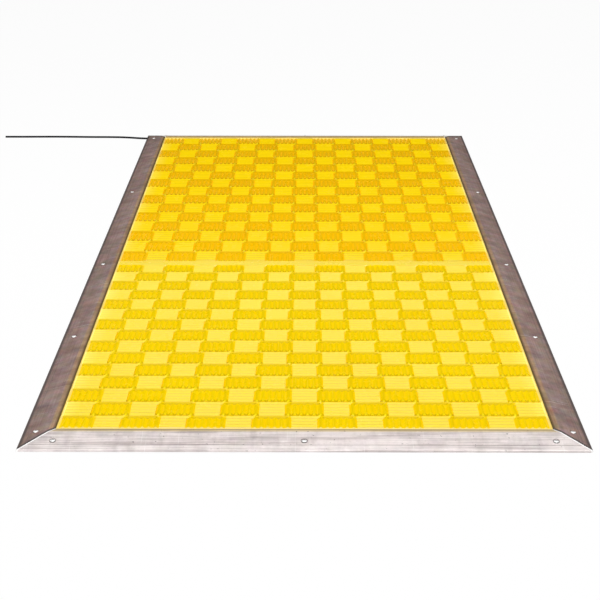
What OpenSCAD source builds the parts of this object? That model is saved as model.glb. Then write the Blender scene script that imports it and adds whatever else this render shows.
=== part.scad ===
// Pressure-sensitive safety mat: two ribbed mats, one behind the other, in a ramped aluminium frame.
// X runs to the right, Y to the rear and Z up from the floor. All sizes are in millimetres.

/* [Mats] */
// Width of both mats, left to right
mat_w = 750; // [600:10:1000]
// Depth of the front mat
front_d = 750; // [600:10:1200]
// Depth of the rear mat
rear_d = 1000; // [600:10:1500]
// Gap between the two mats at their joint
joint_gap = 0.4; // [0.2:0.1:2]

/* [Mat layers] */
// Thickness of the bottom cover
base_sheet_t = 2.5; // [1.5:0.1:4]
// Thickness of each steel contact plate
plate_t = 1; // [0.6:0.1:1.5]
// Open height between the contact plates
contact_gap = 1.5; // [1.2:0.1:3]
// Thickness of the tread under its grooves
skin_t = 2; // [1.5:0.1:5]
// Height of the tread ribs
rib_h = 3; // [2:0.1:3.5]
// Width of the sealed edge around the contact plates
seal_w = 18; // [12:1:30]
// Clearance around the contact plates
plate_clear = 0.5; // [0.2:0.1:2]
// Width of one spacer strip
spacer_w = 8; // [4:1:15]
// Distance between spacer strips
spacer_pitch = 120; // [80:5:200]
// Distance from the ends of the spacer strips to the plate's edge
spacer_end = 55; // [50:1:80]

/* [Tread weave] */
// Cells of the weave along each side of a mat
cells = 15; // [9:2:15]
// Grooves in one cell
cell_grooves = 3; // [2:1:3]
// Width of the plain edge in front of the weave and behind it
plain_end = 12; // [8:1:16]
// Width of the plain edge beside the weave
plain_side = 5.5; // [5:0.5:16]
// Distance from the mat's edge at which the cells start to count
weave_start = 4; // [0:1:8]

/* [Ramps] */
// Width of a ramp outside the mat
ramp_w = 45; // [45:1:50]
// Overlap of the lip on the mat
lip_over = 5; // [3:0.5:6]
// Width of the flat lip
lip_w = 10; // [9:0.5:12]
// Thickness of the lip
lip_t = 2; // [1.8:0.1:3]
// Clearance between the lip and the mat
lip_clear = 0.3; // [0.1:0.1:1]
// Height of the ramp at its outer edge
toe_h = 3.5; // [2.5:0.1:4.5]
// Width of the solid foot at the outer edge
toe_w = 4; // [3:0.5:6]
// Thickness of the sloping wall
ramp_wall = 2.2; // [1.6:0.1:2.4]
// Distance of the grip groove from the outer edge
grip_at = 11.2; // [8:0.1:12]
// Width of the grip groove
grip_w = 1.4; // [0.8:0.1:2]
// Depth of the grip groove
grip_depth = 0.45; // [0.2:0.05:0.8]
// Bevel along the ramp's edges
edge_break = 0.6; // [0.3:0.1:1]
// Gap between two ramps at their mitre
mitre_gap = 0.2; // [0.1:0.1:1]

/* [Base rails] */
// Distance from the ramp's outer edge to the rail
rail_set = 10; // [8:0.5:12]
// Thickness of the rail's foot
foot_t = 2; // [1.6:0.1:2.2]
// Thickness of the upright web beside the mat
web_t = 2; // [1.5:0.1:3]
// Clearance between the mat and the web
mat_clear = 0.5; // [0.2:0.1:1]
// Width of the raised pad under the screws
pad_w = 14; // [12:0.5:16]
// Height of the raised pad
pad_h = 4.2; // [3.5:0.1:4.5]
// Diameter of the floor anchor holes
anchor_d = 6.6; // [4.5:0.1:8]
// Distance of the inner side anchors from the middle
side_anchor_in = 250; // [150:10:300]
// Distance of the outer side anchors from the rail's end
side_anchor_end = 225; // [100:5:250]
// Distance of the front and rear anchors from the middle
end_anchor = 185; // [100:5:250]

/* [Screws] */
// Diameter of the screw shank
screw_d = 5; // [4:0.1:5]
// Diameter of the countersunk head
head_d = 9.6; // [8:0.1:10]
// Height of the head's domed top
head_rise = 2.4; // [1:0.1:3]
// Clearance around the screw head
head_clear = 0.3; // [0.2:0.1:0.6]
// Clearance around the screw shank
shank_clear = 0.1; // [0.05:0.05:0.3]
// Distance of the screws from the ramp's outer edge
screw_at = 20.5; // [19.5:0.5:21]
// Distance of the last screw from the ramp's corner
screw_end = 50.5; // [49:0.5:70]
// Height of the screw's tip above the floor
screw_tip = 0.6; // [0.3:0.1:1.5]
// Length of one arm pair of the cross recess
recess_l = 4.6; // [3:0.1:5]
// Width of a recess arm
recess_w = 0.9; // [0.6:0.1:1.2]
// Depth of the recess
recess_depth = 1.2; // [0.8:0.1:1.6]

/* [Leads] */
// Diameter of the cable and of the link lead
cable_d = 5; // [4.6:0.1:5]
// Clearance around the cable in the ramp's notch
notch_clear = 0.6; // [0.4:0.1:1]
// Width of the moulded boots, across the wire channel
boot_w = 12; // [8:0.5:12]
// Length of a boot's body
boot_l = 25; // [18:1:35]
// Height of a boot's body
boot_h = 6; // [5:0.5:6.5]
// Length of a boot's round nose
nose_l = 15; // [10:1:25]
// Wall of the nose around the lead, at its tip
nose_wall = 0.4; // [0.2:0.1:0.5]
// Diameter of the wires to the contact plates
wire_d = 0.9; // [0.6:0.1:1]
// Reach of the wires over the contact plates
wire_reach = 40; // [20:1:45]

/* [Hidden] */
$fn = 48;

// Room that a cut takes beyond the face it opens
spare = 1;

// Plan of the frame
mats_d = front_d + rear_d;
outer_w = mat_w + 2 * ramp_w;
outer_d = mats_d + 2 * ramp_w;
joint_y = front_d - mats_d / 2;

// Heights of the mat's layers
lower_plate_z = base_sheet_t;
gap_z = lower_plate_z + plate_t;
upper_plate_z = gap_z + contact_gap;
skin_z = upper_plate_z + plate_t;
valley_z = skin_z + skin_t;
mat_t = valley_z + rib_h;

// Section of a ramp: distance in from its outer edge, and height
section_w = ramp_w + lip_over;
slope_w = section_w - lip_w;
lip_z = mat_t + lip_clear;
ramp_h = lip_z + lip_t;
function slope_z(u) = toe_h + (ramp_h - toe_h) * u / slope_w;
under_w = slope_w * (lip_z + ramp_wall - toe_h) / (ramp_h - toe_h);

// Section of a base rail
web_in = ramp_w - mat_clear;
web_out = web_in - web_t;
pad_out = screw_at - pad_w / 2;

// Countersunk head, flush with the slope at its lower edge, with a domed top
head_z = slope_z(screw_at - head_d / 2);
head_cone_h = (head_d - screw_d) / 2;
dome_r = (head_d * head_d / 4 + head_rise * head_rise) / (2 * head_rise);
dome_z = head_z + head_rise - dome_r;
dome_turn = asin(head_d / 2 / dome_r);
dome_steps = 5;

// Places of the screws and floor anchors along each side
rear_mid_y = joint_y + rear_d / 2;
front_mid_y = joint_y - front_d / 2;
side_screw_y = [
    screw_end - outer_d / 2, front_mid_y, joint_y, rear_mid_y, outer_d / 2 - screw_end
];
end_screw_x = [screw_end - outer_w / 2, 0, outer_w / 2 - screw_end];
side_anchor_out = mats_d / 2 - side_anchor_end;
side_anchor_y = [-side_anchor_out, -side_anchor_in, side_anchor_in, side_anchor_out];
end_anchor_x = [-end_anchor, end_anchor];

// Wire channel of the left rail, between the pad and the web
channel_at = 35;
channel_x = channel_at - outer_w / 2;
lead_z = foot_t + boot_h / 2;

// Notch for the cable, near the rear end of the left ramp
notch_y = outer_d / 2 - 28;
notch_w = cable_d + 2 * notch_clear;
notch_depth = 17.5;
passage_in = 31;
passage_w = 19;
passage_h = 6.6;

// Boots: the front end of each one's body along the left rail
cable_start = 90;
link_set = 40;
rear_boot_y = outer_d / 2 - cable_start - nose_l - boot_l;
rear_link_y = joint_y + link_set + boot_l;
front_link_y = joint_y - link_set - boot_l;

// Route of the cable's middle line from the rear boot, out of the notch and along the floor.
// Each point gives the way right and rearwards from the frame's rear left corner, and the height.
cable_route = [
    [35, -90, lead_z], [35, -78, lead_z], [35, -66, lead_z - 0.2], [35, -54, 4.7], [35, -45, 4.6],
    [34, -38, 4.2], [30.3, -32.7, 3.6], [25, -29.2, 3], [19, -28, 2.6], [12, -28, 2.5],
    [4, -28, 2.5], [-5, -27.5, 2.5], [-17, -26, 2.5], [-30, -23, 2.5], [-44, -19.5, 2.5],
    [-59, -16.5, 2.5], [-75, -14.5, 2.5], [-93, -13.5, 2.5], [-113, -13, 2.5], [-135, -13, 2.5],
    [-159, -12.5, 2.5], [-185, -11.5, 2.5], [-213, -10.5, 2.5], [-241, -10, 2.5], [-269, -10, 2.5],
    [-297, -10.5, 2.5], [-325, -11, 2.5], [-353, -11, 2.5], [-380, -11, 2.5]
];
cable_sides = 10;

// Lines between the cells along one side of a mat
function cell_lines(side, plain) = [
    for (i = [0 : cells])
        i == 0 ? plain - side / 2
        : i == cells ? side / 2 - plain
        : weave_start - side / 2 + i * (side - 2 * weave_start) / cells
];

// Edge number i of the grooves that fill the stretch from a to b
function groove_edge(a, b, i) = i == cell_grooves ? b : a + (b - a) * i / cell_grooves;

// Faces of one cell: its grooves run along the first axis from a0 to a1, side by side from b0 to b1.
// A face is a list of points, clockwise seen from outside.
function groove_faces(a0, a1, b0, b1) = [
    for (j = [0 : cell_grooves - 1])
        let (near = groove_edge(b0, b1, j), far = groove_edge(b0, b1, j + 1), deep = (near + far) / 2)
        each [
            concat(
                [[a0, deep, valley_z], [a1, deep, valley_z], [a1, near, mat_t]],
                j > 0 ? []
                    : [for (i = [cell_grooves - 1 : -1 : 1]) [groove_edge(a0, a1, i), near, mat_t]],
                [[a0, near, mat_t]]
            ),
            concat(
                [[a1, deep, valley_z], [a0, deep, valley_z], [a0, far, mat_t]],
                j < cell_grooves - 1 ? []
                    : [for (i = [1 : cell_grooves - 1]) [groove_edge(a0, a1, i), far, mat_t]],
                [[a1, far, mat_t]]
            ),
            [[a0, near, mat_t], [a0, far, mat_t], [a0, deep, valley_z]],
            [[a1, far, mat_t], [a1, near, mat_t], [a1, deep, valley_z]]
        ]
];

// The same faces with x and y changed over, and turned round so that they still face outwards
function turned(faces) = [
    for (f = faces) [for (i = [len(f) : -1 : 1]) let (q = f[i % len(f)]) [q[1], q[0], q[2]]]
];

// All points along one edge of the weave
function edge_points(lines) = concat(
    [for (i = [0 : cells - 1], k = [0 : cell_grooves - 1]) groove_edge(lines[i], lines[i + 1], k)],
    [lines[cells]]
);

// Faces of a whole tread block: the weave, its plain edge, the four sides and the underside
function tread_faces(w, d) =
    let (xs = cell_lines(w, plain_side), ys = cell_lines(d, plain_end))
    let (ex = edge_points(xs), ey = edge_points(ys))
    let (x0 = xs[0], x1 = xs[cells], y0 = ys[0], y1 = ys[cells], z = base_sheet_t)
    let (p = [[-w / 2, -d / 2], [-w / 2, d / 2], [w / 2, d / 2], [w / 2, -d / 2]])
    let (top = [for (c = p) [c[0], c[1], mat_t]], low = [for (c = p) [c[0], c[1], z]])
    concat(
        [
            for (i = [0 : cells - 1], j = [0 : cells - 1])
                each (i + j) % 2 == 1
                    ? groove_faces(xs[i], xs[i + 1], ys[j], ys[j + 1])
                    : turned(groove_faces(ys[j], ys[j + 1], xs[i], xs[i + 1]))
        ],
        [
            concat([top[0]], [for (x = ex) [x, y0, mat_t]], [top[3]]),
            concat([top[2]], [for (i = [len(ex) - 1 : -1 : 0]) [ex[i], y1, mat_t]], [top[1]]),
            concat([top[1]], [for (i = [len(ey) - 1 : -1 : 0]) [x0, ey[i], mat_t]], [top[0]]),
            concat([top[3]], [for (y = ey) [x1, y, mat_t]], [top[2]]),
            [low[3], low[2], low[1], low[0]]
        ],
        [for (i = [0 : 3]) let (n = (i + 1) % 4) [low[i], low[n], top[n], top[i]]]
    );

// A solid from a list of faces, each a list of points
module solid_of(faces) {
    starts = [for (i = 0, n = 0; i < len(faces); n = n + len(faces[i]), i = i + 1) n];
    polyhedron(
        points = [for (f = faces) each f],
        faces = [for (i = [0 : len(faces) - 1]) [for (j = [0 : len(faces[i]) - 1]) starts[i] + j]]
    );
}

// A box given by its low corner and its size
module box(low, size) {
    translate(low) cube(size);
}

// Places its children at the middle of the front mat or the rear mat
module at_front() {
    translate([0, front_mid_y - joint_gap / 4, 0]) children();
}

module at_rear() {
    translate([0, rear_mid_y + joint_gap / 4, 0]) children();
}

front_mat_d = front_d - joint_gap / 2;
rear_mat_d = rear_d - joint_gap / 2;

// Ribbed top cover with a deep edge, hollow underneath for the contact plates
module tread(d) {
    difference() {
        solid_of(tread_faces(mat_w, d));
        box(
            [seal_w - mat_w / 2, seal_w - d / 2, base_sheet_t - spare],
            [mat_w - 2 * seal_w, d - 2 * seal_w, skin_z - base_sheet_t + spare]
        );
    }
}

module rear_tread() {
    color("gold") difference() {
        at_rear() tread(rear_mat_d);
        wires_at(rear_boot_y + boot_l / 2, wire_d + 2 * shank_clear);
        wires_at(rear_link_y - boot_l / 2, wire_d + 2 * shank_clear);
    }
}

module front_tread() {
    color("gold") difference() {
        at_front() tread(front_mat_d);
        wires_at(front_link_y + boot_l / 2, wire_d + 2 * shank_clear);
    }
}

// Flat bottom cover
module base_sheet(d) {
    color("goldenrod") box([-mat_w / 2, -d / 2, 0], [mat_w, d, base_sheet_t]);
}

module rear_base_sheet() {
    at_rear() base_sheet(rear_mat_d);
}

module front_base_sheet() {
    at_front() base_sheet(front_mat_d);
}

// Steel contact plate
plate_w = mat_w - 2 * (seal_w + plate_clear);
module plate(d, z) {
    plate_d = d - 2 * (seal_w + plate_clear);
    color("lightsteelblue") box([-plate_w / 2, -plate_d / 2, z], [plate_w, plate_d, plate_t]);
}

module rear_upper_plate() {
    at_rear() plate(rear_mat_d, upper_plate_z);
}

module front_upper_plate() {
    at_front() plate(front_mat_d, upper_plate_z);
}

module rear_lower_plate() {
    at_rear() plate(rear_mat_d, lower_plate_z);
}

module front_lower_plate() {
    at_front() plate(front_mat_d, lower_plate_z);
}

// Soft strips that hold the plates apart
module spacers(d) {
    count = floor((d - 2 * seal_w) / spacer_pitch);
    strip_l = plate_w - 2 * spacer_end;
    color("dimgray") for (i = [0 : count - 1])
        box(
            [-strip_l / 2, (i - (count - 1) / 2) * spacer_pitch - spacer_w / 2, gap_z],
            [strip_l, spacer_w, contact_gap]
        );
}

module rear_spacers() {
    at_rear() spacers(rear_mat_d);
}

module front_spacers() {
    at_front() spacers(front_mat_d);
}

// Two wires through the left edge of a mat: one under the upper plate and one on the lower plate
wire_gap = 8;
module wires_at(y, d) {
    for (side = [-1, 1])
        translate([-mat_w / 2, y + side * wire_gap / 2, gap_z + contact_gap / 2])
            translate([0, 0, side * (contact_gap - wire_d) / 2])
                rotate([0, 90, 0]) cylinder(d = d, h = seal_w + wire_reach);
}

module rear_plate_leads() {
    color("firebrick") {
        wires_at(rear_boot_y + boot_l / 2, wire_d);
        wires_at(rear_link_y - boot_l / 2, wire_d);
    }
}

module front_plate_leads() {
    color("firebrick") wires_at(front_link_y + boot_l / 2, wire_d);
}

// Outline of a ramp's section without its hollow
module ramp_outline() {
    polygon([
        [0, 0], [0, toe_h - edge_break], [edge_break, slope_z(edge_break)],
        [grip_at - grip_w / 2, slope_z(grip_at - grip_w / 2)],
        [grip_at, slope_z(grip_at) - grip_depth],
        [grip_at + grip_w / 2, slope_z(grip_at + grip_w / 2)],
        [slope_w, ramp_h], [section_w - edge_break, ramp_h], [section_w, ramp_h - edge_break],
        [section_w, lip_z], [web_in, lip_z], [web_in, 0]
    ]);
}

// Hollow under the slope, from the toe to the mat
module ramp_hollow() {
    polygon([
        [toe_w, -spare], [toe_w, slope_z(toe_w) - ramp_wall],
        [under_w, lip_z], [web_in + spare, lip_z], [web_in + spare, -spare]
    ]);
}

// Section of a ramp: a sloping wall with a toe, a lip and a thick rib for the screws
module ramp_section() {
    difference() {
        ramp_outline();
        difference() {
            ramp_hollow();
            translate([pad_out, pad_h]) square([pad_w, ramp_h]);
        }
    }
}

// Lays a section along X: its width runs along Y and its height along Z
module along_x(length) {
    rotate([90, 0, 90]) linear_extrude(length, center = true) children();
}

// Hole for one screw: clearance for the shank, a countersink and room above the head
module screw_hole(x) {
    grow = head_clear;
    translate([x, screw_at, 0]) {
        translate([0, 0, -spare]) cylinder(d = screw_d + 2 * shank_clear, h = ramp_h);
        translate([0, 0, head_z - head_cone_h])
            cylinder(d1 = screw_d + 2 * grow, d2 = head_d + 2 * grow, h = head_cone_h);
        translate([0, 0, head_z]) cylinder(d = head_d + 2 * grow, h = ramp_h);
    }
}

// A ramp of the given outer length along X, mitred at both ends, with holes at the given places
module ramp(length, screw_xs) {
    end = length / 2 - mitre_gap / sqrt(2);
    difference() {
        intersection() {
            along_x(length) ramp_section();
            linear_extrude(ramp_h) polygon([
                [-end, 0], [end, 0], [end - section_w, section_w], [section_w - end, section_w]
            ]);
        }
        for (x = screw_xs) screw_hole(x);
    }
}

// Places its children, drawn for the front, on one of the four sides
module on_front() {
    translate([0, -outer_d / 2, 0]) children();
}

module on_rear() {
    rotate(180) on_front() children();
}

module on_right() {
    rotate(90) translate([0, -outer_w / 2, 0]) children();
}

module on_left() {
    rotate(-90) translate([0, -outer_w / 2, 0]) children();
}

function negated(list) = [for (v = list) -v];

// Way out for the cable through the left ramp: an open notch in the toe and a passage under the rib
module cable_notch() {
    left = -outer_w / 2;
    low_y = notch_y - notch_w / 2;
    box([left - spare, low_y, -spare], [notch_depth + spare, notch_w, ramp_h]);
    box(
        [left + notch_depth - spare, low_y + notch_w - passage_w, -spare],
        [passage_in - notch_depth + spare, passage_w, passage_h + spare]
    );
}

module left_ramp() {
    color("gray") difference() {
        on_left() ramp(outer_d, negated(side_screw_y));
        cable_notch();
    }
}

module right_ramp() {
    color("gray") on_right() ramp(outer_d, side_screw_y);
}

module front_ramp() {
    color("lightgray") on_front() ramp(outer_w, end_screw_x);
}

module rear_ramp() {
    color("gray") on_rear() ramp(outer_w, end_screw_x);
}

// Section of a base rail: foot, raised pad and upright web
module rail_section() {
    translate([rail_set, 0]) square([web_in - rail_set, foot_t]);
    translate([pad_out, 0]) square([pad_w, pad_h]);
    translate([web_out, 0]) square([web_t, lip_z]);
}

// A base rail with its screw holes and floor anchor holes
module base_rail(length, screw_xs, anchor_xs) {
    difference() {
        along_x(length) rail_section();
        for (x = screw_xs)
            translate([x, screw_at, -spare]) cylinder(d = screw_d + 2 * shank_clear, h = pad_h + 2 * spare);
        for (x = anchor_xs)
            translate([x, channel_at, -spare]) cylinder(d = anchor_d, h = foot_t + 2 * spare);
    }
}

// Window in the left rail's web for a boot's neck
neck_t = boot_h - 1;
window_clear = 0.5;
module boot_window(y) {
    box(
        [channel_x, y - window_clear, foot_t],
        [-mat_w / 2 - channel_x, boot_l + 2 * window_clear, boot_h]
    );
}

module left_base_rail() {
    color("darkgray") difference() {
        on_left() base_rail(mats_d, negated(side_screw_y), negated(side_anchor_y));
        boot_window(rear_boot_y);
        boot_window(rear_link_y - boot_l);
        boot_window(front_link_y);
    }
}

module right_base_rail() {
    color("darkgray") on_right() base_rail(mats_d, side_screw_y, side_anchor_y);
}

module front_base_rail() {
    color("darkgray") on_front() base_rail(mat_w, end_screw_x, end_anchor_x);
}

module rear_base_rail() {
    color("darkgray") on_rear() base_rail(mat_w, end_screw_x, end_anchor_x);
}

// Half section of a screw: shank, countersunk head and domed top
module screw_section() {
    polygon(concat(
        [[0, screw_tip], [screw_d / 2, screw_tip], [screw_d / 2, head_z - head_cone_h]],
        [
            for (i = [dome_steps : -1 : 0])
                let (turn = dome_turn * i / dome_steps)
                [dome_r * sin(turn), dome_z + dome_r * cos(turn)]
        ]
    ));
}

// Countersunk screw with a cross recess
module screw() {
    difference() {
        rotate_extrude() screw_section();
        for (turn = [0, 90])
            rotate(turn) translate([0, 0, head_z + head_rise])
                cube([recess_l, recess_w, 2 * recess_depth], center = true);
    }
}

module screws(xs) {
    color("silver") for (x = xs) translate([x, screw_at, 0]) screw();
}

module left_screws() {
    on_left() screws(negated(side_screw_y));
}

module right_screws() {
    on_right() screws(side_screw_y);
}

module front_screws() {
    on_front() screws(end_screw_x);
}

module rear_screws() {
    on_rear() screws(end_screw_x);
}

// Moulded boot beside a mat's left edge: body, neck to the mat and a round nose that points to the rear
module boot() {
    color("black") {
        box([channel_x - boot_w / 2, 0, foot_t], [boot_w, boot_l, boot_h]);
        box([channel_x, 0, lead_z - neck_t / 2], [-mat_w / 2 - channel_x, boot_l, neck_t]);
        translate([channel_x, boot_l, lead_z]) rotate([-90, 0, 0])
            cylinder(d1 = boot_h, d2 = cable_d + 2 * nose_wall, h = nose_l);
    }
}

module rear_lead_boot() {
    translate([0, rear_boot_y, 0]) boot();
}

module rear_link_boot() {
    translate([0, rear_link_y, 0]) mirror([0, 1, 0]) boot();
}

module front_link_boot() {
    translate([0, front_link_y, 0]) boot();
}

// Short lead between the two mats, held in the wire channel
module link_lead() {
    from_y = front_link_y + boot_l + nose_l;
    to_y = rear_link_y - boot_l - nose_l;
    color("black") translate([channel_x, from_y, lead_z])
        rotate([-90, 0, 0]) cylinder(d = cable_d, h = to_y - from_y);
}

// Round tube swept along a list of points
function unit(v) = v / norm(v);
function heading(path, i) = unit(path[min(i + 1, len(path) - 1)] - path[max(i - 1, 0)]);
function ring(path, i, r) =
    let (ahead = heading(path, i), side = unit(cross([0, 0, 1], ahead)), up = cross(ahead, side))
    [
        for (k = [0 : cable_sides - 1])
            path[i] + r * (side * cos(360 * k / cable_sides) + up * sin(360 * k / cable_sides))
    ];

module tube(path, d) {
    last = (len(path) - 1) * cable_sides;
    polyhedron(
        points = [for (i = [0 : len(path) - 1]) each ring(path, i, d / 2)],
        faces = concat(
            [[for (k = [0 : cable_sides - 1]) k]],
            [
                for (i = [0 : len(path) - 2], k = [0 : cable_sides - 1])
                    let (a = i * cable_sides, n = (k + 1) % cable_sides)
                    [a + k, a + cable_sides + k, a + cable_sides + n, a + n]
            ],
            [[for (k = [cable_sides - 1 : -1 : 0]) last + k]]
        )
    );
}

module cable() {
    color("black") translate([-outer_w / 2, outer_d / 2, 0]) tube(cable_route, cable_d);
}

rear_tread();
front_tread();
rear_base_sheet();
front_base_sheet();
rear_upper_plate();
front_upper_plate();
rear_lower_plate();
front_lower_plate();
rear_spacers();
front_spacers();
rear_plate_leads();
front_plate_leads();
left_ramp();
right_ramp();
front_ramp();
rear_ramp();
left_base_rail();
right_base_rail();
front_base_rail();
rear_base_rail();
left_screws();
right_screws();
front_screws();
rear_screws();
rear_lead_boot();
rear_link_boot();
front_link_boot();
link_lead();
cable();
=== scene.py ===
# %% [markdown]
# # A ribbed safety mat in its ramped frame
# The CAD model is the fixed frame of this scene: it gives every piece its size and place, in metres.
# We load it first and keep its box.

# %% Load the frame
import math

import bmesh
import bpy
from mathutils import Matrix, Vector


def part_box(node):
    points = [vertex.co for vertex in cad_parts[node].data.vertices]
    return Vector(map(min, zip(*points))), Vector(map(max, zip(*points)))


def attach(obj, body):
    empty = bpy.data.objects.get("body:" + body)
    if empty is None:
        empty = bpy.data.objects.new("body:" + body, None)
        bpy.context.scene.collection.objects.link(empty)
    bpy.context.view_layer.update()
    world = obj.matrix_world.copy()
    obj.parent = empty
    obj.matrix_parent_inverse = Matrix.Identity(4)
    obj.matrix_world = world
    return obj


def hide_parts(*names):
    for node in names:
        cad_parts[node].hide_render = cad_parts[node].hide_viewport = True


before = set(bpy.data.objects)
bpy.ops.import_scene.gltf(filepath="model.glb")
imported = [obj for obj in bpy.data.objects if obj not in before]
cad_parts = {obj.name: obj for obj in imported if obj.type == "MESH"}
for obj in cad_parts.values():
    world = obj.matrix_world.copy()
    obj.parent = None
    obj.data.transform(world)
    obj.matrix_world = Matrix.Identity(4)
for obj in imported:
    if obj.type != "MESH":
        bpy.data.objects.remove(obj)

scene = bpy.context.scene
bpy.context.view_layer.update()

# %% [markdown]
# ## The camera
# The photograph looks along the mat from the front, a little from above, through a long lens.
# The place, the tilt and the lens come from lines whose real lengths are known: the mats' edges and the weave's rows.

# %% Camera
LENS_MM = 84.25
TILT_DEG = 69.025
TURN_DEG = 0.218
lens = bpy.data.cameras.new("mat_camera")
lens.sensor_width = 36
lens.lens = LENS_MM
lens.clip_end = 200
camera = bpy.data.objects.new("mat_camera", lens)
camera.location = (0.0007, -2.7492, 0.9387)
camera.rotation_euler = (math.radians(TILT_DEG), 0, math.radians(TURN_DEG))
scene.collection.objects.link(camera)
scene.camera = camera
print("camera", LENS_MM, "mm, tilted", TILT_DEG, "degrees from straight down")

# %% [markdown]
# ## The cable
# A thin black lead comes out of its boot under the left ramp, turns through the notch and lies on the floor.
# A curve with a round bevel is a tube of constant thickness, and points that lie close together keep its bends soft.
# The points repeat the CAD route in millimetres, counted from the frame's rear left corner. The curve is then made a
# mesh, so that the tube is a piece like the others.

# %% Cable route
MM = 0.001
CABLE_D = 0.005
corner = Vector((-0.420, 0.920, 0))
cable_route = [
    (35, -90, 5), (35, -78, 5), (35, -66, 4.8), (35, -54, 4.7), (35, -45, 4.6),
    (34, -38, 4.2), (30.3, -32.7, 3.6), (25, -29.2, 3), (19, -28, 2.6), (12, -28, 2.5),
    (4, -28, 2.5), (-5, -27.5, 2.5), (-17, -26, 2.5), (-30, -23, 2.5), (-44, -19.5, 2.5),
    (-59, -16.5, 2.5), (-75, -14.5, 2.5), (-93, -13.5, 2.5), (-113, -13, 2.5), (-135, -13, 2.5),
    (-159, -12.5, 2.5), (-185, -11.5, 2.5), (-213, -10.5, 2.5), (-241, -10, 2.5), (-269, -10, 2.5),
    (-297, -10.5, 2.5), (-325, -11, 2.5), (-353, -11, 2.5), (-380, -11, 2.5),
]
cable_points = [corner + Vector(p) * MM for p in cable_route]

# %% Cable tube
cable_curve = bpy.data.curves.new("mat_cable", "CURVE")
cable_curve.dimensions = "3D"
cable_curve.bevel_depth = CABLE_D / 2
cable_curve.bevel_resolution = 4
cable_curve.use_fill_caps = True
spline = cable_curve.splines.new("POLY")
spline.points.add(len(cable_points) - 1)
for point, place in zip(spline.points, cable_points):
    point.co = (*place, 1)
guide = bpy.data.objects.new("cable_guide", cable_curve)
scene.collection.objects.link(guide)
cable_mesh = bpy.data.meshes.new_from_object(guide.evaluated_get(bpy.context.evaluated_depsgraph_get()))
bpy.data.objects.remove(guide)
cable = bpy.data.objects.new("mat_cable", cable_mesh)
cable_mesh.shade_smooth()
scene.collection.objects.link(cable)
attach(cable, "root")
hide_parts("cable")
print(cable.name, len(cable_mesh.polygons), "faces")

# %% [markdown]
# ## Helpers for materials
# Each finish is a node tree. These helpers set up a tree and read a point's place on the piece, in Object coordinates.

# %% Material helpers
def new_material(name):
    material = bpy.data.materials.new(name)
    material.use_nodes = True
    tree = material.node_tree
    return material, tree, tree.nodes["Principled BSDF"]


def add(tree, kind, **inputs):
    node = tree.nodes.new(kind)
    for name, value in inputs.items():
        node.inputs[name.replace("_", " ")].default_value = value
    return node


def join(tree, source, target):
    tree.links.new(source, target)


def feed(tree, sockets, values):
    for socket, value in zip(sockets, values):
        if isinstance(value, bpy.types.NodeSocket):
            join(tree, value, socket)
        else:
            socket.default_value = value


def object_coords(tree, scale=(1, 1, 1)):
    coords = tree.nodes.new("ShaderNodeTexCoord")
    mapping = add(tree, "ShaderNodeMapping", Scale=scale)
    join(tree, coords.outputs["Object"], mapping.inputs["Vector"])
    return mapping.outputs["Vector"]


def split_xyz(tree, vector):
    parts = tree.nodes.new("ShaderNodeSeparateXYZ")
    join(tree, vector, parts.inputs["Vector"])
    return parts.outputs


print("material helpers ready")

# %% [markdown]
# Each of the next helpers adds one step of a recipe, so that a recipe stays short to read. These work with numbers:
# noise makes clouds or specks, calc does sums, step turns a number softly into 0 or 1, and share stops short of 1.

# %% Number helpers
def noise(tree, vector, scale, detail=2.0, roughness=0.5, output="Fac"):
    node = add(tree, "ShaderNodeTexNoise", Scale=scale, Detail=detail, Roughness=roughness)
    join(tree, vector, node.inputs["Vector"])
    return node.outputs[output]


def calc(tree, operation, first, second=0.0):
    node = tree.nodes.new("ShaderNodeMath")
    node.operation = operation
    feed(tree, node.inputs, (first, second))
    return node.outputs["Value"]


def step(tree, value, low, high):
    node = add(tree, "ShaderNodeMapRange", From_Min=low, From_Max=high)
    node.interpolation_type = "SMOOTHSTEP"
    join(tree, value, node.inputs["Value"])
    return node.outputs["Result"]


def share(tree, value, between, most):
    return calc(tree, "MULTIPLY", step(tree, value, *between), most)


print("number helpers ready")

# %% [markdown]
# These work with colours and the surface: ramp goes from one colour to another as a number grows, mix lays one colour
# over another, and bump roughens the surface.

# %% Colour helpers
def grey(level):
    return (level, level, level, 1)


def ramp(tree, value, low, high, dark=grey(0), light=grey(1)):
    node = tree.nodes.new("ShaderNodeValToRGB")
    for element, place, colour in zip(node.color_ramp.elements, (low, high), (dark, light)):
        element.position = place
        element.color = colour
    join(tree, value, node.inputs["Fac"])
    return node.outputs["Color"]


def mix(tree, amount, first, second, blend="MIX"):
    node = tree.nodes.new("ShaderNodeMix")
    node.data_type = "RGBA"
    node.blend_type = blend
    feed(tree, [socket for socket in node.inputs if socket.enabled], (amount, first, second))
    return [socket for socket in node.outputs if socket.enabled][0]


def bump(tree, shader, height, strength, distance):
    node = add(tree, "ShaderNodeBump", Strength=strength, Distance=distance)
    join(tree, height, node.inputs["Height"])
    join(tree, node.outputs["Normal"], shader.inputs["Normal"])


print("colour helpers ready")

# %% [markdown]
# ## The ribbed treads
# Each mat is moulded with a basket weave: cells whose ribs run across take turns with cells whose ribs run along.
# The ribs could be a bump in the material, but then the mat would be flat in outline, so they are modelled.
# We start from one flat sheet at rib height and cut it along the cell lines. Each cell is then cut into strips, and
# the corners on the groove floors are pressed down.

# %% Cell lines
CELLS = 15
RIBS = 5
END_RIM = 0.012
SIDE_RIM = 0.0055
WEAVE_START = 0.004


def cell_lines(low, high):
    pitch = (high - low - 2 * WEAVE_START) / CELLS
    return [low + WEAVE_START + i * pitch for i in range(CELLS + 1)], pitch


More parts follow.
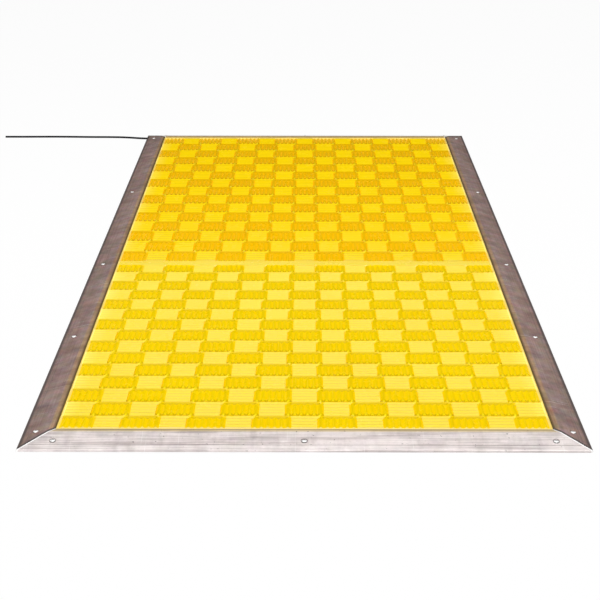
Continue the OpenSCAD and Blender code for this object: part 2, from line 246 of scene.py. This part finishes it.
front_low, front_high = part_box("front_tread")
rear_low, rear_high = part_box("rear_tread")
print("cell pitch across", round(cell_lines(front_low.x, front_high.x)[1] / MM, 2),
      "front rows", round(cell_lines(front_low.y, front_high.y)[1] / MM, 2),
      "rear rows", round(cell_lines(rear_low.y, rear_high.y)[1] / MM, 2), "mm")

# %% [markdown]
# Cutting is one operator: a plane goes through chosen faces only, so each cell can be divided its own way.
# A cell's place says which way its ribs run: where column and row add up to an even number, they run along.

# %% Cut a sheet into cells
X_AXIS, Y_AXIS = Vector((1, 0, 0)), Vector((0, 1, 0))
CUT_SLACK = 1e-6


def cut_at(sheet, faces, axis, places):
    geom = list({part for face in faces for part in (face, *face.edges, *face.verts)})
    for place in places:
        cut = bmesh.ops.bisect_plane(sheet, geom=geom, dist=CUT_SLACK, plane_co=axis * place, plane_no=axis)
        geom = cut["geom"]
    return [part for part in geom if isinstance(part, bmesh.types.BMFace)]


def cell_sheet(low, high):
    sheet = bmesh.new()
    bmesh.ops.create_grid(sheet, x_segments=1, y_segments=1, size=0.5)
    bmesh.ops.scale(sheet, vec=(high.x - low.x, high.y - low.y, 1), verts=sheet.verts)
    bmesh.ops.translate(sheet, vec=((low.x + high.x) / 2, (low.y + high.y) / 2, high.z), verts=sheet.verts)
    columns, rows = cell_lines(low.x, high.x)[0], cell_lines(low.y, high.y)[0]
    cut_at(sheet, sheet.faces, X_AXIS, [low.x + SIDE_RIM, *columns[1:-1], high.x - SIDE_RIM])
    cut_at(sheet, sheet.faces, Y_AXIS, [low.y + END_RIM, *rows[1:-1], high.y - END_RIM])
    cells = {}
    for face in sheet.faces:
        middle = face.calc_center_median()
        inside_sides = low.x + SIDE_RIM < middle.x < high.x - SIDE_RIM
        if inside_sides and low.y + END_RIM < middle.y < high.y - END_RIM:
            column = sum(line < middle.x for line in columns[1:-1])
            row = sum(line < middle.y for line in rows[1:-1])
            cells[column, row] = face
    return sheet, cells


trial, trial_cells = cell_sheet(front_low, front_high)
print("cells in a mat:", len(trial_cells))
trial.free()

# %% [markdown]
# A cell's ribs stop short of the two lines that they would cross, so the rib on such a line runs on without a break.
# Beside it a flank goes down to a low line, and from there the cell's own ribs rise steeply, like the teeth of a comb.
# Only at the mat's edge do the grooves end in a wall, because the rim there is plain. A groove is left out where it
# would come too near to that rim.

# %% Where a cell is cut
RIB_H = 0.0030
HALF_TOP = 0.0002
HALF_FLOOR = 0.0001
END_RUN = 0.0006
SIDE_FLANK = 0.0048
RIM_GAP = 0.0025


def end_flank(row_pitch):
    return row_pitch / RIBS / 2 - HALF_TOP - HALF_FLOOR


def rib_lines(start, pitch, low, high):
    rib_pitch = pitch / RIBS
    tops = [start + k * rib_pitch for k in range(1, RIBS)]
    floors = [start + (k + 0.5) * rib_pitch for k in range(RIBS)]
    floors = [line for line in floors if low + RIM_GAP < line < high - RIM_GAP]
    top_edges = [line + side * HALF_TOP for line in tops for side in (-1, 1)]
    floor_edges = [line + side * HALF_FLOOR for line in floors for side in (-1, 1)]
    return [line for line in top_edges if low + END_RUN < line < high - END_RUN], floor_edges


def end_lines(low, high, flank, first, last):
    lows = ([] if first else [low + flank]) + ([] if last else [high - flank])
    rises = [low + END_RUN if first else low + flank + END_RUN]
    rises.append(high - END_RUN if last else high - flank - END_RUN)
    return lows, rises


print("rib height", RIB_H / MM, "mm, flat tops", 2 * HALF_TOP / MM, "mm wide")

# %% [markdown]
# A cell is cut along both edges of each rib top and groove floor, and across at the ribs' ends.
# Every corner that lies on a floor or on a low line is then pressed down by the height of a rib, all at once.

# %% Press the grooves
SAME_PLACE = 1e-5


def span(face, side):
    places = [vert.co[side] for vert in face.verts]
    return min(places), max(places)


def on_any(place, lines):
    return any(abs(place - line) < SAME_PLACE for line in lines)


def groove_cell(sheet, face, side, start, pitch, flank, first, last):
    axes = (X_AXIS, Y_AXIS)
    low, high = span(face, side)
    tops, floors = rib_lines(start, pitch, low, high)
    lows, rises = end_lines(*span(face, 1 - side), flank, first, last)
    pieces = cut_at(sheet, [face], axes[side], tops + floors)
    pieces = cut_at(sheet, pieces, axes[1 - side], lows + rises)
    pressed = []
    for vert in {v for piece in pieces for v in piece.verts}:
        place, reach = vert.co[side], vert.co[1 - side]
        on_floor = on_any(place, floors) and rises[0] - SAME_PLACE < reach < rises[1] + SAME_PLACE
        on_low = on_any(reach, lows) and low + SAME_PLACE < place < high - SAME_PLACE
        if on_floor or on_low:
            pressed.append(vert)
    bmesh.ops.translate(sheet, vec=(0, 0, -RIB_H), verts=pressed)


print("corners count as one within", SAME_PLACE / MM, "mm")

# %% [markdown]
# Each cell is made as a small tile of its own. An inset first gives it a narrow border, whose outer edge stays uncut,
# so neighbouring tiles meet corner to corner and one weld makes them a single surface again.

# %% Tile the sheet
def cell_tile(face, column, row, columns, pitch, rows, row_pitch):
    tile = bmesh.new()
    inner = tile.faces.new([tile.verts.new(vert.co) for vert in face.verts])
    bmesh.ops.inset_individual(tile, faces=[inner], thickness=HALF_TOP, use_even_offset=True)
    if (column + row) % 2 == 0:
        groove_cell(tile, inner, 0, columns[column], pitch, end_flank(row_pitch), row == 0, row == CELLS - 1)
    else:
        groove_cell(tile, inner, 1, rows[row], row_pitch, SIDE_FLANK, column == 0, column == CELLS - 1)
    return tile


def tile_sheet(sheet, cells, columns, pitch, rows, row_pitch):
    carrier = bpy.data.meshes.new("tile")
    for (column, row), face in cells.items():
        tile = cell_tile(face, column, row, columns, pitch, rows, row_pitch)
        tile.to_mesh(carrier)
        tile.free()
        sheet.from_mesh(carrier)
    bpy.data.meshes.remove(carrier)
    bmesh.ops.delete(sheet, geom=list(cells.values()), context="FACES_ONLY")
    bmesh.ops.remove_doubles(sheet, verts=sheet.verts, dist=SAME_PLACE)


print("tiles in a mat:", CELLS * CELLS)

# %% [markdown]
# The moulding goes down round its edge to the bottom cover, and it is hollow underneath for the contact plates.
# We pull the sheet's border down, close it with one face, and push the middle of that face up again.

# %% Close the moulding below
SEAL_W = 0.018
HOLLOW_H = 0.0035


def corners_of(geom):
    return [part for part in geom if isinstance(part, bmesh.types.BMVert)]


def close_below(sheet, low, high):
    border = [edge for edge in sheet.edges if edge.is_boundary]
    skirt = bmesh.ops.extrude_edge_only(sheet, edges=border)["geom"]
    bmesh.ops.translate(sheet, vec=(0, 0, low.z - high.z), verts=corners_of(skirt))
    foot_shadow = [edge for edge in sheet.edges if edge.is_boundary]
    bottom = bmesh.ops.edgeloop_fill(sheet, edges=foot_shadow)["faces"]
    bmesh.ops.inset_region(sheet, faces=bottom, thickness=SEAL_W, use_even_offset=True)
    lifted = bmesh.ops.extrude_face_region(sheet, geom=bottom)["geom"]
    bmesh.ops.delete(sheet, geom=bottom, context="FACES_ONLY")
    bmesh.ops.translate(sheet, vec=(0, 0, HOLLOW_H), verts=corners_of(lifted))


print("sealed edge", SEAL_W / MM, "mm wide, hollow", HOLLOW_H / MM, "mm high")

# %% [markdown]
# Each face takes one of three material slots: ribs that run along the mat, ribs that run across it, or plain rim.
# The three are lit and shaded copies of one plastic. A face that leans to the left or right gets the shaded copy of the
# ribs along the mat, whatever its cell. The steep near ends of those ribs face the front and get the lit copy of the
# ribs across.

# %% Pick the slots
ALONG, ACROSS, RIM = 0, 1, 2
LEANING = 0.3
STEEP = 0.8


def pick_slots(mesh, columns, rows, low, high):
    slots = []
    for face in mesh.polygons:
        middle = face.center
        column = sum(line < middle.x for line in columns[1:-1])
        row = sum(line < middle.y for line in rows[1:-1])
        on_rim = middle.y < low.y + END_RIM or middle.y > high.y - END_RIM
        # Faces that lean sideways take the shaded copy, and steep near ends that face the front take the lit copy.
        along = (column + row) % 2 == 0 or abs(face.normal.x) > LEANING
        nearer = middle.y < (rows[row] + rows[row + 1]) / 2
        along = along and not (nearer and face.normal.y < -STEEP)
        slots.append(RIM if on_rim else ALONG if along else ACROSS)
    mesh.polygons.foreach_set("material_index", slots)


print("a face leans from", round(math.degrees(math.asin(LEANING))), "degrees and is steep from",
      round(math.degrees(math.asin(STEEP))))

# %% [markdown]
# Now a tread is made from its CAD node's box, one step after the other. It stands for that node, so it rides on the
# same body, and the node itself is hidden.

# %% Build both treads
def make_tread(node):
    low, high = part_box(node)
    sheet, cells = cell_sheet(low, high)
    columns, pitch = cell_lines(low.x, high.x)
    rows, row_pitch = cell_lines(low.y, high.y)
    tile_sheet(sheet, cells, columns, pitch, rows, row_pitch)
    close_below(sheet, low, high)
    bmesh.ops.recalc_face_normals(sheet, faces=sheet.faces)
    mesh = bpy.data.meshes.new(node + "_ribbed")
    sheet.to_mesh(mesh)
    sheet.free()
    pick_slots(mesh, columns, rows, low, high)
    tread = bpy.data.objects.new(node + "_ribbed", mesh)
    scene.collection.objects.link(tread)
    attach(tread, "root")
    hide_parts(node)
    print(tread.name, len(mesh.polygons), "faces in", len(cells), "cells")
    return tread


front_tread = make_tread("front_tread")
rear_tread = make_tread("rear_tread")

# %% [markdown]
# ## Yellow moulding
# The mats are satin yellow plastic. All three finishes share a start and an end: the start gives the shine and the
# place on the mat, and the end adds a pale line where the rim meets the frame, which is a painted highlight, a few
# brown specks, a slow change of colour as a large moulding has, and a fine grain that breaks up the gloss. The shine is
# one number for a finish, so it is set on the shader itself.

# %% Yellow start and end
GROOVE_Z = (0.0094, 0.0080)
SIDE_LINE_X = (0.3662, 0.3680)
END_LINE_Y = {"front_tread": (-0.8578, -0.8598), "rear_tread": (0.8596, 0.8620)}
RIM_LINE_HIGHLIGHT = (0.98, 0.77, 0.20, 1)
BROWN_SCALE, BROWN_FROM, BROWN_SHARE = 120, (0.80, 0.84), 0.5
SPECK_BROWN = (0.25, 0.13, 0.01, 1)
CLOUD_SCALE, CLOUD_SHADE = 6, (0.985, 0.955, 1, 1)
SATIN_SCALE, SATIN_ROUGH = 40, (0.22, 0.30)
GRAIN_SCALE, GRAIN_STRENGTH, GRAIN_H = 900, 0.04, 0.0001


def yellow_start(name, shine):
    material, tree, shader = new_material(name)
    shader.inputs["Specular IOR Level"].default_value = shine
    where = object_coords(tree)
    return material, tree, where, split_xyz(tree, where)


def yellow_end(tree, where, spot, node, colour):
    shader = tree.nodes["Principled BSDF"]
    # Painted highlight: a pale line along the rim where it meets the frame.
    line = step(tree, calc(tree, "ABSOLUTE", spot["X"]), *SIDE_LINE_X)
    line = calc(tree, "MAXIMUM", line, step(tree, spot["Y"], *END_LINE_Y[node]))
    colour = mix(tree, line, colour, RIM_LINE_HIGHLIGHT)
    specks = share(tree, noise(tree, where, BROWN_SCALE, 1), BROWN_FROM, BROWN_SHARE)
    colour = mix(tree, specks, colour, SPECK_BROWN)
    cloud = ramp(tree, noise(tree, where, CLOUD_SCALE, 4), 0.35, 0.7)
    colour = mix(tree, cloud, colour, CLOUD_SHADE, "MULTIPLY")
    join(tree, colour, shader.inputs["Base Color"])
    satin = noise(tree, where, SATIN_SCALE, 3)
    join(tree, ramp(tree, satin, 0.3, 0.7, *map(grey, SATIN_ROUGH)), shader.inputs["Roughness"])
    bump(tree, shader, noise(tree, where, GRAIN_SCALE), GRAIN_STRENGTH, GRAIN_H)


print("pale line from", SIDE_LINE_X[0], "m off the middle")

# %% [markdown]
# The ribs that run along the mat get a dull, deeper-gold copy of the plastic, which is painted shade. The feet of
# these ribs are darkened as painted shadow: at the far end below the next cell, in the mouths of the grooves at the
# near end, and a little at the sides. The near tips of the ribs are lightened as a painted highlight. To know how far
# through its cell a point is, we divide its place by the pitch and keep the fraction.

# %% Ribs along the mat
ALONG_SHINE = 0.05
# FAR_FOOT, NEAR_FOOT and SIDE_FOOT darken the feet of the ribs as painted shadow, and TIP lightens the near tips as a
# painted highlight.
FAR_FOOT, FAR_FOOT_Z = (0.885, 0.905), (0.0109, 0.0105)
NEAR_FOOT, NEAR_FOOT_Z = (0.30, 0.20), (0.0103, 0.0094)
SIDE_FOOT, SIDE_SHADOW_SHARE = (0.40, 0.45), 0.12
TIP, TIP_Z = (0.21, 0.15), (0.0097, 0.0104)
FOOT_SHADE = (0.73, 0.74, 1, 1)
TIP_HIGHLIGHT = (0.99, 0.82, 0.01, 1)


def through_cell(tree, place, low, high):
    lines, pitch = cell_lines(low, high)
    return calc(tree, "FRACT", calc(tree, "DIVIDE", calc(tree, "SUBTRACT", place, lines[0]), pitch))


def zone(tree, through, between, height, heights):
    return calc(tree, "MULTIPLY", step(tree, through, *between), step(tree, height, *heights))


def shaded_along_yellow(node, colour, deep_shade):
    material, tree, where, spot = yellow_start(node + "_along", ALONG_SHINE)
    low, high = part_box(node)
    through = through_cell(tree, spot["Y"], low.y, high.y)
    off_middle = calc(tree, "SUBTRACT", through_cell(tree, spot["X"], low.x, high.x), 0.5)
    foot_shadow = share(tree, calc(tree, "ABSOLUTE", off_middle), SIDE_FOOT, SIDE_SHADOW_SHARE)
    foot_shadow = calc(tree, "MAXIMUM", foot_shadow, zone(tree, through, FAR_FOOT, spot["Z"], FAR_FOOT_Z))
    foot_shadow = calc(tree, "MAXIMUM", foot_shadow, zone(tree, through, NEAR_FOOT, spot["Z"], NEAR_FOOT_Z))
    # Painted shade: the deep colour in the groove floors, then a darker colour at the feet of the ribs.
    colour = mix(tree, step(tree, spot["Z"], *GROOVE_Z), colour, deep_shade)
    colour = mix(tree, foot_shadow, colour, tuple(a * b for a, b in zip(deep_shade, FOOT_SHADE)))
    # Painted highlight on the near tips of the ribs.
    colour = mix(tree, zone(tree, through, TIP, spot["Z"], TIP_Z), colour, TIP_HIGHLIGHT)
    yellow_end(tree, where, spot, node, colour)
    return material


print("dirt from", FAR_FOOT[0], "of a cell at the far end, up to", NEAR_FOOT[0], "at the near end")

# %% [markdown]
# The ribs across the mat get a shinier, lit copy of the plastic, and painted shade lies in the grooves between them.
# Where these ribs end beside the frame, they are pale. The plain rims round the weave get the palest copy, as painted
# light.

# %% Ribs across the mat, rims
ACROSS_SHINE = 0.28
# Painted shade at the bottom of the grooves between the ribs across.
GROOVE_SHADE_Z = (0.0097, 0.0084)
GROOVE_FLOOR_SHADE = (0.66, 0.76, 0.85, 1)
EDGE_X, EDGE_SHARE = (0.340, 0.372), 0.8
EDGE_YELLOW = (0.99, 0.74, 0.07, 1)


def lit_across_yellow(node, colour, deep_shade):
    material, tree, where, spot = yellow_start(node + "_across", ACROSS_SHINE)
    beside = share(tree, calc(tree, "ABSOLUTE", spot["X"]), EDGE_X, EDGE_SHARE)
    colour = mix(tree, beside, colour, EDGE_YELLOW)
    # Painted shade: the deep colour and then a darker tint in the groove floors.
    colour = mix(tree, step(tree, spot["Z"], *GROOVE_Z), colour, deep_shade)
    colour = mix(tree, step(tree, spot["Z"], *GROOVE_SHADE_Z), colour, GROOVE_FLOOR_SHADE, "MULTIPLY")
    yellow_end(tree, where, spot, node, colour)
    return material


def lit_rim_yellow(node, colour, deep_shade):
    material, tree, where, spot = yellow_start(node + "_rim", ACROSS_SHINE)
    yellow_end(tree, where, spot, node, mix(tree, step(tree, spot["Z"], *GROOVE_Z), colour, deep_shade))
    return material


print("grime below", GROOVE_SHADE_Z[0] / MM, "mm, pale ends from", EDGE_X[0], "m off the middle")

# %% [markdown]
# The rear mat is a warmer yellow than the front one, so each mat has its own colour for the ribs along it, the ribs
# across it, the rims and the deep part of the grooves. The along, across and rim colours are shaded and lit copies of
# one plastic, and the deep colour is painted shade in the grooves.

# %% Paint the treads
def paint_tread(tread, node, along, across, rim, deep_shade):
    tread.data.materials.append(shaded_along_yellow(node, along, deep_shade))
    tread.data.materials.append(lit_across_yellow(node, across, deep_shade))
    tread.data.materials.append(lit_rim_yellow(node, rim, deep_shade))
    print(tread.name, "painted with", [material.name for material in tread.data.materials])


paint_tread(front_tread, "front_tread", along=(0.91, 0.66, 0.001, 1), across=(0.90, 0.625, 0.002, 1),
            rim=(0.95, 0.74, 0.008, 1), deep_shade=(0.91, 0.63, 0.001, 1))
paint_tread(rear_tread, "rear_tread", along=(0.98, 0.60, 0.001, 1), across=(0.93, 0.66, 0.001, 1),
            rim=(0.98, 0.73, 0.008, 1), deep_shade=(0.97, 0.56, 0.001, 1))

# %% [markdown]
# ## Aluminium trim
# The ramps are mill-finished aluminium that has gone dull and stained under feet. Painted shade and dark lines lie
# along the seams, so a finish has to know where on a ramp it is: how far in from the outer edge, and how far from the
# mitre.
# Both come from the Object coordinates, because the frame is centred on the origin.

# %% Places on a ramp
FRAME_HALF = {"X": 0.420, "Y": 0.920}


def inset_from_edge(tree, place, axis):
    off_middle = calc(tree, "ABSOLUTE", split_xyz(tree, place)[axis])
    return calc(tree, "SUBTRACT", FRAME_HALF[axis], off_middle)


print("a ramp's outer edges lie", FRAME_HALF, "m from the middle")

# %% [markdown]
# The metal itself is layers of noise. Most are stretched by the scale of their coordinates: drawn streaks and rolled
# bands run along the bar, and smears and pale scratches run across it, where soles slid. Stains, a little colour and
# dark specks have no direction. A pair of scales below is for across the bar and along it.

# %% Worn metal
DRAWN, ROLLED = (900, 6), (190, 5)
SLID, KICKED = (9, 45), (7, 420)
STAIN_SCALE, TINT_SCALE, PIT_SCALE = 34, 55, 210
STREAK_SHADE = (0.72, 0.70, 0.70, 1)
SMEAR_SHADE = (0.84, 0.82, 0.82, 1)
BAND_FROM, BAND_SHADE = (0.48, 0.62), (0.66, 0.62, 0.62, 1)
SCRATCH_FROM, SCRATCH_SHARE, SCRATCH_PALE = (0.68, 0.74), 0.4, (0.95, 0.93, 0.92, 1)
PIT_FROM, PIT_SHARE, PIT_DARK = (0.69, 0.73), 0.7, (0.10, 0.08, 0.07, 1)


def stretched(tree, across, scales, detail, roughness=0.5):
    wide, lengthways = scales
    scale = (wide, lengthways, wide) if across == "X" else (lengthways, wide, wide)
    return noise(tree, object_coords(tree, scale), 1, detail, roughness)


def worn_metal(tree, place, across, clean, stained, tint_share, band_share):
    stains = noise(tree, place, STAIN_SCALE, 6, 0.65)
    streaks = stretched(tree, across, DRAWN, 3, 0.6)
    base = mix(tree, ramp(tree, stains, 0.40, 0.62), clean, stained)
    base = mix(tree, tint_share, base, noise(tree, place, TINT_SCALE, 3, output="Color"), "OVERLAY")
    base = mix(tree, ramp(tree, streaks, 0.3, 0.75), base, STREAK_SHADE, "MULTIPLY")
    smears = stretched(tree, across, SLID, 4, 0.6)
    base = mix(tree, ramp(tree, smears, 0.50, 0.72), base, SMEAR_SHADE, "MULTIPLY")
    bands = share(tree, stretched(tree, across, ROLLED, 4, 0.65), BAND_FROM, band_share)
    base = mix(tree, bands, base, BAND_SHADE, "MULTIPLY")
    scratches = share(tree, stretched(tree, across, KICKED, 2), SCRATCH_FROM, SCRATCH_SHARE)
    base = mix(tree, scratches, base, SCRATCH_PALE)
    pits = share(tree, noise(tree, place, PIT_SCALE, 3), PIT_FROM, PIT_SHARE)
    return mix(tree, pits, base, PIT_DARK), stains, streaks


print("streaks are", DRAWN[0] // DRAWN[1], "times as long as they are wide")

# %% [markdown]
# Over the metal lie the marks of its place: painted light that changes from the slope to the lip, a painted warm
# reflection of the mat on the lip, painted shadow in the seam beside the mat and painted shade in the grip groove, a
# toe that is darker or paler, and a line at the mitre. A mark is given as the places between which it grows, its
# greatest share, and its colour. Oxide and dirt make the bar dull, so the shader is only part metal.

# %% Aluminium material
STAIN_WANDER, LIP_LIGHT_AT = 0.03, (0.018, 0.052)
LIP_AT, LIP_MAT_REFLECTION = (0.0385, 0.0430), (1.10, 1.0, 0.66, 1)
GRIP_AT, GRIP_HALF, GRIP_SHADE = 0.0112, (0.0009, 0.0005), (0.20, 0.17, 0.165, 1)
METAL_SHARE, METAL_ROUGH = 0.45, (0.58, 0.74)


def mark(tree, base, value, between, most, colour):
    return mix(tree, share(tree, value, between, most), base, colour)


def aluminium(name, across, along, metal, lip_light, seam_shadow, grip_shade_share, toe, mitre):
    material, tree, shader = new_material(name)
    place = object_coords(tree)
    inset = inset_from_edge(tree, place, across)
    off_mitre = calc(tree, "SUBTRACT", inset_from_edge(tree, place, along), inset)
    base, stains, streaks = worn_metal(tree, place, across, **metal)
    wandering = calc(tree, "ADD", inset, calc(tree, "MULTIPLY", stains, STAIN_WANDER))
    # Painted light: the ramp grows lighter or darker from the slope to the lip.
    base = mix(tree, step(tree, wandering, *LIP_LIGHT_AT), base, lip_light, "MULTIPLY")
    # Painted reflection of the yellow mat on the lip.
    base = mix(tree, step(tree, inset, *LIP_AT), base, LIP_MAT_REFLECTION, "MULTIPLY")
    # Painted shadow in the seam beside the mat.
    base = mark(tree, base, inset, *seam_shadow)
    # Painted shade in the grip groove.
    off_groove = calc(tree, "ABSOLUTE", calc(tree, "SUBTRACT", inset, GRIP_AT))
    base = mark(tree, base, off_groove, GRIP_HALF, grip_shade_share, GRIP_SHADE)
    base = mark(tree, base, inset, *toe)
    base = mark(tree, base, off_mitre, *mitre)
    join(tree, base, shader.inputs["Base Color"])
    shader.inputs["Metallic"].default_value = METAL_SHARE
    join(tree, ramp(tree, streaks, 0.25, 0.8, *map(grey, METAL_ROUGH)), shader.inputs["Roughness"])
    bump(tree, shader, streaks, 0.2, 0.0002)
    return material


print("grip groove", GRIP_AT / MM, "mm and lip", LIP_AT[1] / MM, "mm in from a ramp's outer edge")

# %% [markdown]
# The side ramps are brown with dirt and darkened further as painted shade, and dark along the toe and at the mitres.
# The front and rear ramps are much paler, partly as painted light, with a clear rolled grain and a bright cut at the
# mitres. The rails under them take the same metal.

# %% Dress the trim
DARK_EDGE = (0.11, 0.09, 0.085, 1)
# The side ramps' dark brown base is partly stains and partly painted shade; the end ramps' pale base is partly painted
# light.
shaded_side_metal = aluminium(
    "side_aluminium_shaded", across="X", along="Y",
    metal={"clean": (0.445, 0.310, 0.272, 1), "stained": (0.302, 0.204, 0.175, 1),
           "tint_share": 0.26, "band_share": 0.25},
    lip_light=(1.16, 1.20, 1.24, 1), seam_shadow=((0.0445, 0.0497), 0.95, (0.12, 0.075, 0.02, 1)), grip_shade_share=0.4,
    toe=((0.0070, 0.0030), 0.85, DARK_EDGE), mitre=((0.0085, 0.0040), 1.0, DARK_EDGE))
lit_end_metal = aluminium(
    "end_aluminium_lit", across="Y", along="X",
    metal={"clean": (0.92, 0.845, 0.825, 1), "stained": (0.75, 0.685, 0.665, 1),
           "tint_share": 0.14, "band_share": 0.75},
    lip_light=(0.93, 0.93, 0.93, 1), seam_shadow=((0.0425, 0.0475), 0.85, (0.42, 0.30, 0.12, 1)), grip_shade_share=0.6,
    toe=((0.0106, 0.0080), 0.14, (0.98, 0.97, 0.96, 1)), mitre=((0.0040, 0.0012), 1.0, (0.95, 0.94, 0.93, 1)))


def dress(node, material):
    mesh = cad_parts[node].data
    mesh.materials.clear()
    mesh.materials.append(material)


for side in ("left", "right", "front", "rear"):
    for kind in ("ramp", "base_rail"):
        dress(f"{side}_{kind}", shaded_side_metal if side in ("left", "right") else lit_end_metal)
print("ramps and rails dressed")

# %% [markdown]
# ## Small pieces
# The lead and its boots are black, and the parts inside the mat are steel, foam and wire. One recipe serves them all:
# a cloudy noise goes from one colour to another, and changes the gloss and the surface with it.

# %% Small materials
CLOUDY = (0.3, 0.7)
CLOUD_STRENGTH, CLOUD_H = 0.1, 0.0002


def plain(name, first, second, rough, scale, metallic=0.0, specular=0.5):
    material, tree, shader = new_material(name)
    shader.inputs["Metallic"].default_value = metallic
    shader.inputs["Specular IOR Level"].default_value = specular
    cloud = noise(tree, object_coords(tree), scale, 4, 0.6)
    join(tree, ramp(tree, cloud, *CLOUDY, first, second), shader.inputs["Base Color"])
    join(tree, ramp(tree, cloud, *CLOUDY, *map(grey, rough)), shader.inputs["Roughness"])
    bump(tree, shader, cloud, CLOUD_STRENGTH, CLOUD_H)
    return material


black_jacket = plain("black_jacket", (0.007, 0.007, 0.008, 1), (0.013, 0.013, 0.014, 1), (0.6, 0.75), 200,
                     specular=0.08)
black_rubber = plain("black_rubber", grey(0.02), grey(0.035), (0.55, 0.75), 200)
yellow_base = plain("yellow_base", (0.80, 0.50, 0.01, 1), (0.72, 0.44, 0.01, 1), (0.5, 0.7), 30)
contact_steel = plain("contact_steel", (0.60, 0.61, 0.63, 1), (0.50, 0.51, 0.53, 1), (0.3, 0.45), 60, metallic=1.0)
grey_foam = plain("grey_foam", (0.05, 0.05, 0.052, 1), (0.08, 0.08, 0.083, 1), (0.8, 0.95), 400)
red_wire = plain("red_wire", (0.45, 0.02, 0.015, 1), (0.38, 0.015, 0.012, 1), (0.35, 0.5), 300)
cable_mesh.materials.append(black_jacket)
finishes = {"boot": black_rubber, "base_sheet": yellow_base, "plate": contact_steel,
            "spacers": grey_foam, "plate_leads": red_wire, "link_lead": black_jacket, "cable": black_jacket}
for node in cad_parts:
    for ending, material in finishes.items():
        if node.endswith(ending):
            dress(node, material)
print("small pieces dressed in", sorted({material.name for material in finishes.values()}))

# %% [markdown]
# ## Screw heads
# The domed heads get a painted highlight on top and painted shade round their edge. The slope of the surface tells
# the two apart: the upward part of its normal is 1 at the middle of a dome and falls towards the edge.

# %% Screw material
LIT_CROWN_FROM = (0.69, 0.78)
SCREW_EDGE_SHADE = (0.04, 0.035, 0.03, 1)
SCREW_BRIGHT, SCREW_DULL = (0.98, 0.97, 0.96, 1), (0.90, 0.89, 0.88, 1)
SCREW_ROUGH = (0.25, 0.40)


def lit_screw_heads():
    material, tree, shader = new_material("screw_steel")
    cloud = noise(tree, object_coords(tree), 300, 4, 0.6)
    surface = tree.nodes.new("ShaderNodeNewGeometry")
    # Painted highlight on the top of each dome, and painted shade round its edge.
    lit_crown = step(tree, split_xyz(tree, surface.outputs["Normal"])["Z"], *LIT_CROWN_FROM)
    steel = ramp(tree, cloud, *CLOUDY, SCREW_BRIGHT, SCREW_DULL)
    join(tree, mix(tree, lit_crown, SCREW_EDGE_SHADE, steel), shader.inputs["Base Color"])
    join(tree, ramp(tree, cloud, *CLOUDY, *map(grey, SCREW_ROUGH)), shader.inputs["Roughness"])
    shader.inputs["Metallic"].default_value = 0.1
    bump(tree, shader, cloud, CLOUD_STRENGTH, CLOUD_H)
    return material


screw_steel = lit_screw_heads()
screw_rows = [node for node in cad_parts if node.endswith("screws")]
for node in screw_rows:
    dress(node, screw_steel)
print("rubbed bright:", screw_rows)

# %% [markdown]
# ## Floor
# The floor is one large pale sheet just below the mat, and it keeps a faint shadow. To the camera and in reflections
# most of it is a plain white glow, so it looks white with no more light on the mat.

# %% Floor
FLOOR_HALF = 80
FLOOR_DROP = 0.0005
GLOW_SHARE = 0.95
floor_sheet = bmesh.new()
bmesh.ops.create_grid(floor_sheet, x_segments=1, y_segments=1, size=FLOOR_HALF)
floor_mesh = bpy.data.meshes.new("pale_floor")
floor_sheet.to_mesh(floor_mesh)
floor_sheet.free()
floor = bpy.data.objects.new("pale_floor", floor_mesh)
floor.location.z = -FLOOR_DROP
scene.collection.objects.link(floor)
floor_paint, floor_tree, floor_shader = new_material("pale_floor")
floor_shader.inputs["Base Color"].default_value = grey(0.9)
floor_shader.inputs["Roughness"].default_value = 0.9
floor_mesh.materials.append(floor_paint)
print("floor laid, with sides of", 2 * FLOOR_HALF, "m")

# %% Floor glow
light_path = floor_tree.nodes.new("ShaderNodeLightPath")
glow = add(floor_tree, "ShaderNodeEmission", Strength=1.0)
seen = light_path.outputs["Is Camera Ray"]
for ray in ("Is Glossy Ray", "Is Transmission Ray"):
    seen = calc(floor_tree, "MAXIMUM", seen, light_path.outputs[ray])
blend = floor_tree.nodes.new("ShaderNodeMixShader")
feed(floor_tree, blend.inputs, (calc(floor_tree, "MULTIPLY", seen, GLOW_SHARE),
                                floor_shader.outputs["BSDF"], glow.outputs["Emission"]))
join(floor_tree, blend.outputs["Shader"], floor_tree.nodes["Material Output"].inputs["Surface"])
print("floor glows for the camera by", GLOW_SHARE)

# %% [markdown]
# ## Light
# One large soft box hangs above the mat. Another stands far in front of it and high up, and lights the front ramp's
# slope and the front flanks of the ribs, while the side ramps stay darker. A weak, wide one behind gives the far flanks
# a little shine. A dim grey world fills the shadows.

# %% Light
def softbox(name, place, target, width, height, power):
    lamp = bpy.data.lights.new(name, "AREA")
    lamp.shape = "RECTANGLE"
    lamp.size, lamp.size_y, lamp.energy = width, height, power
    holder = bpy.data.objects.new(name, lamp)
    holder.location = place
    holder.rotation_euler = (Vector(target) - Vector(place)).to_track_quat("-Z", "Y").to_euler()
    scene.collection.objects.link(holder)


softbox("top_light", place=(0, -0.3, 3.0), target=(0, -0.3, 0), width=2.2, height=2.2, power=60)
softbox("key_light", place=(0, -7.5, 6.6), target=(0, 0.3, 0), width=4.0, height=3.4, power=700)
softbox("back_light", place=(0, 6, 2.7), target=(0, 0, 0), width=3.4, height=0.8, power=17)
world = bpy.data.worlds.new("studio")
scene.world = world
world.use_nodes = True
sky = world.node_tree.nodes["Background"]
sky.inputs["Color"].default_value = (0.5, 0.49, 0.48, 1)
sky.inputs["Strength"].default_value = 0.06
scene.view_settings.view_transform = "Standard"

bpy.context.view_layer.update()
